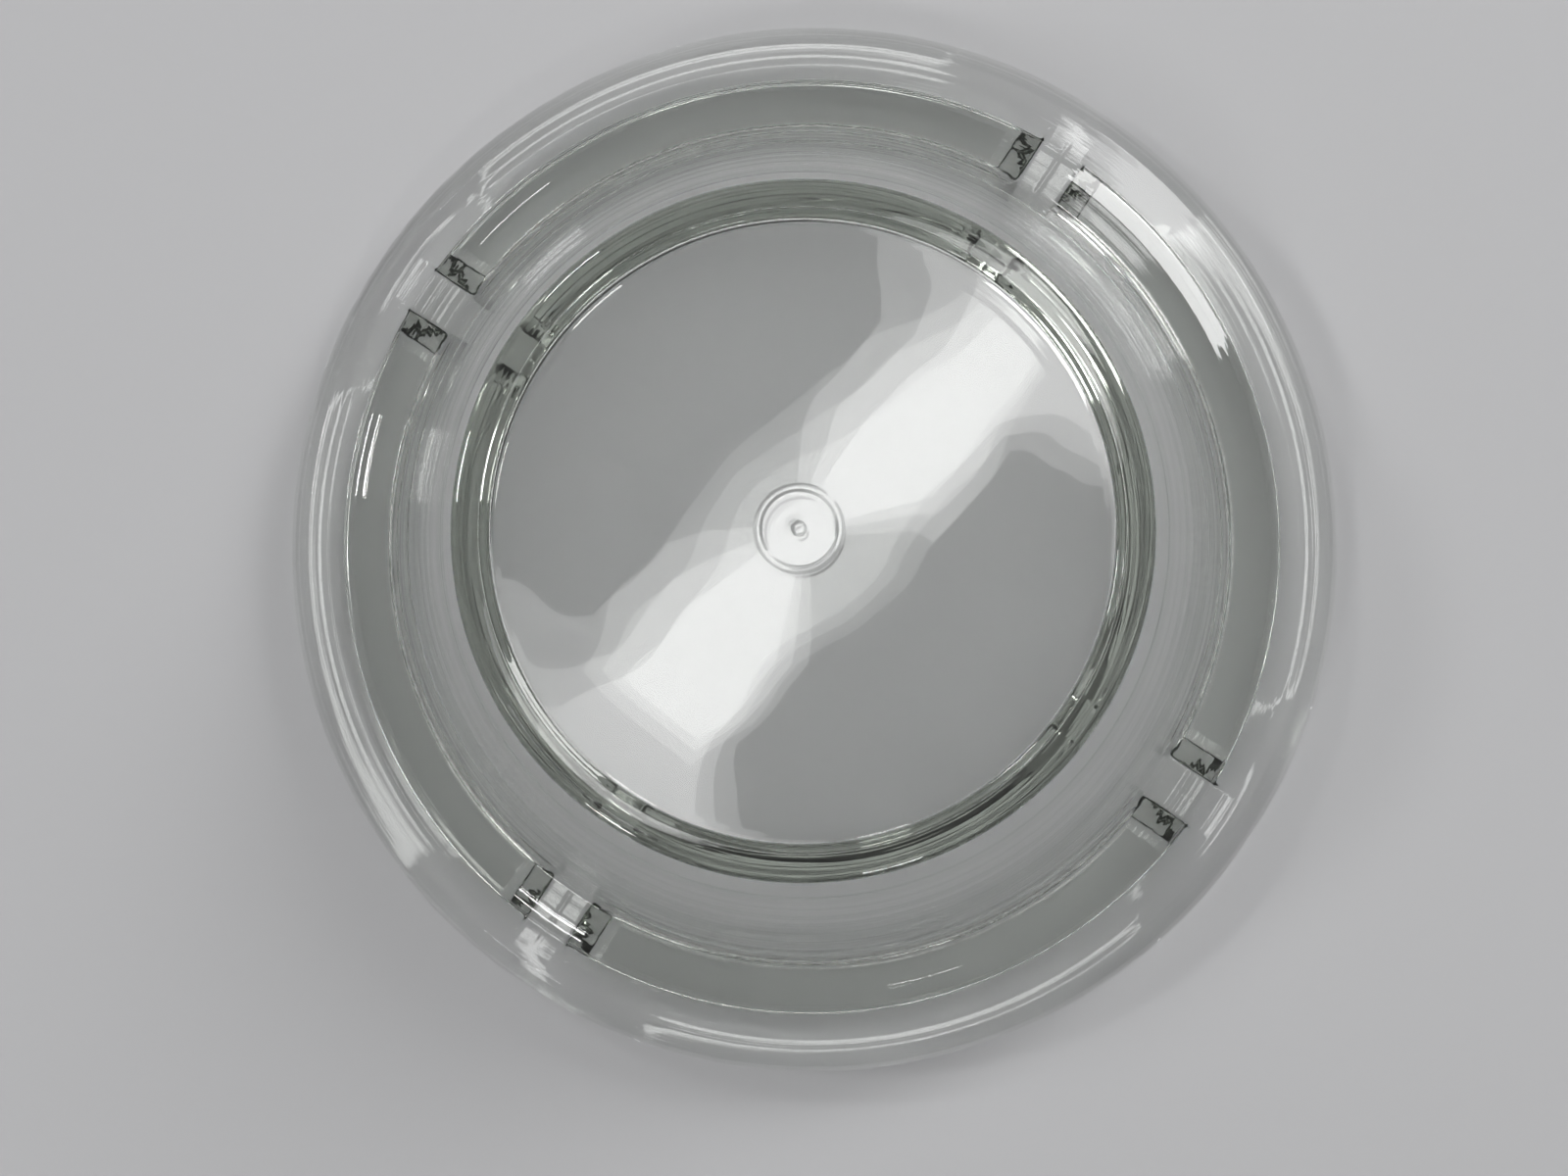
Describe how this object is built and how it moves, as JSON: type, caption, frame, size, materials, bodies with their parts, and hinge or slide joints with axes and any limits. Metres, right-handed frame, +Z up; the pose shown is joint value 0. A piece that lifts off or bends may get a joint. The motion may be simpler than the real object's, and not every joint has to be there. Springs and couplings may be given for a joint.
{
  "type": "glass dish",
  "caption": "Round one-piece pressed-glass dish lying mouth down, with a conical well, a thick rim ring, a thin flange with a bevelled lip, and grooved rests that flare out through the lip.",
  "frame": {"origin": "centre of the mouth's face, on the surface that the dish lies on mouth down", "axes": "+Z up through the foot, along the axis of symmetry; the rests lie on +X, +Y, -X and -Y; turn the dish half a turn about X to use it mouth up"},
  "size_m": [0.1066, 0.1066, 0.023],
  "materials": {
    "clear_glass": "fire-polished clear soda-lime glass with a faint green tint"
  },
  "bodies": {
    "root": {"base_plate": "clear_glass", "foot_ring": "clear_glass", "side_wall": "clear_glass", "rim_ring": "clear_glass", "flange": "clear_glass", "lip": "clear_glass"}
  },
  "joints": []
}
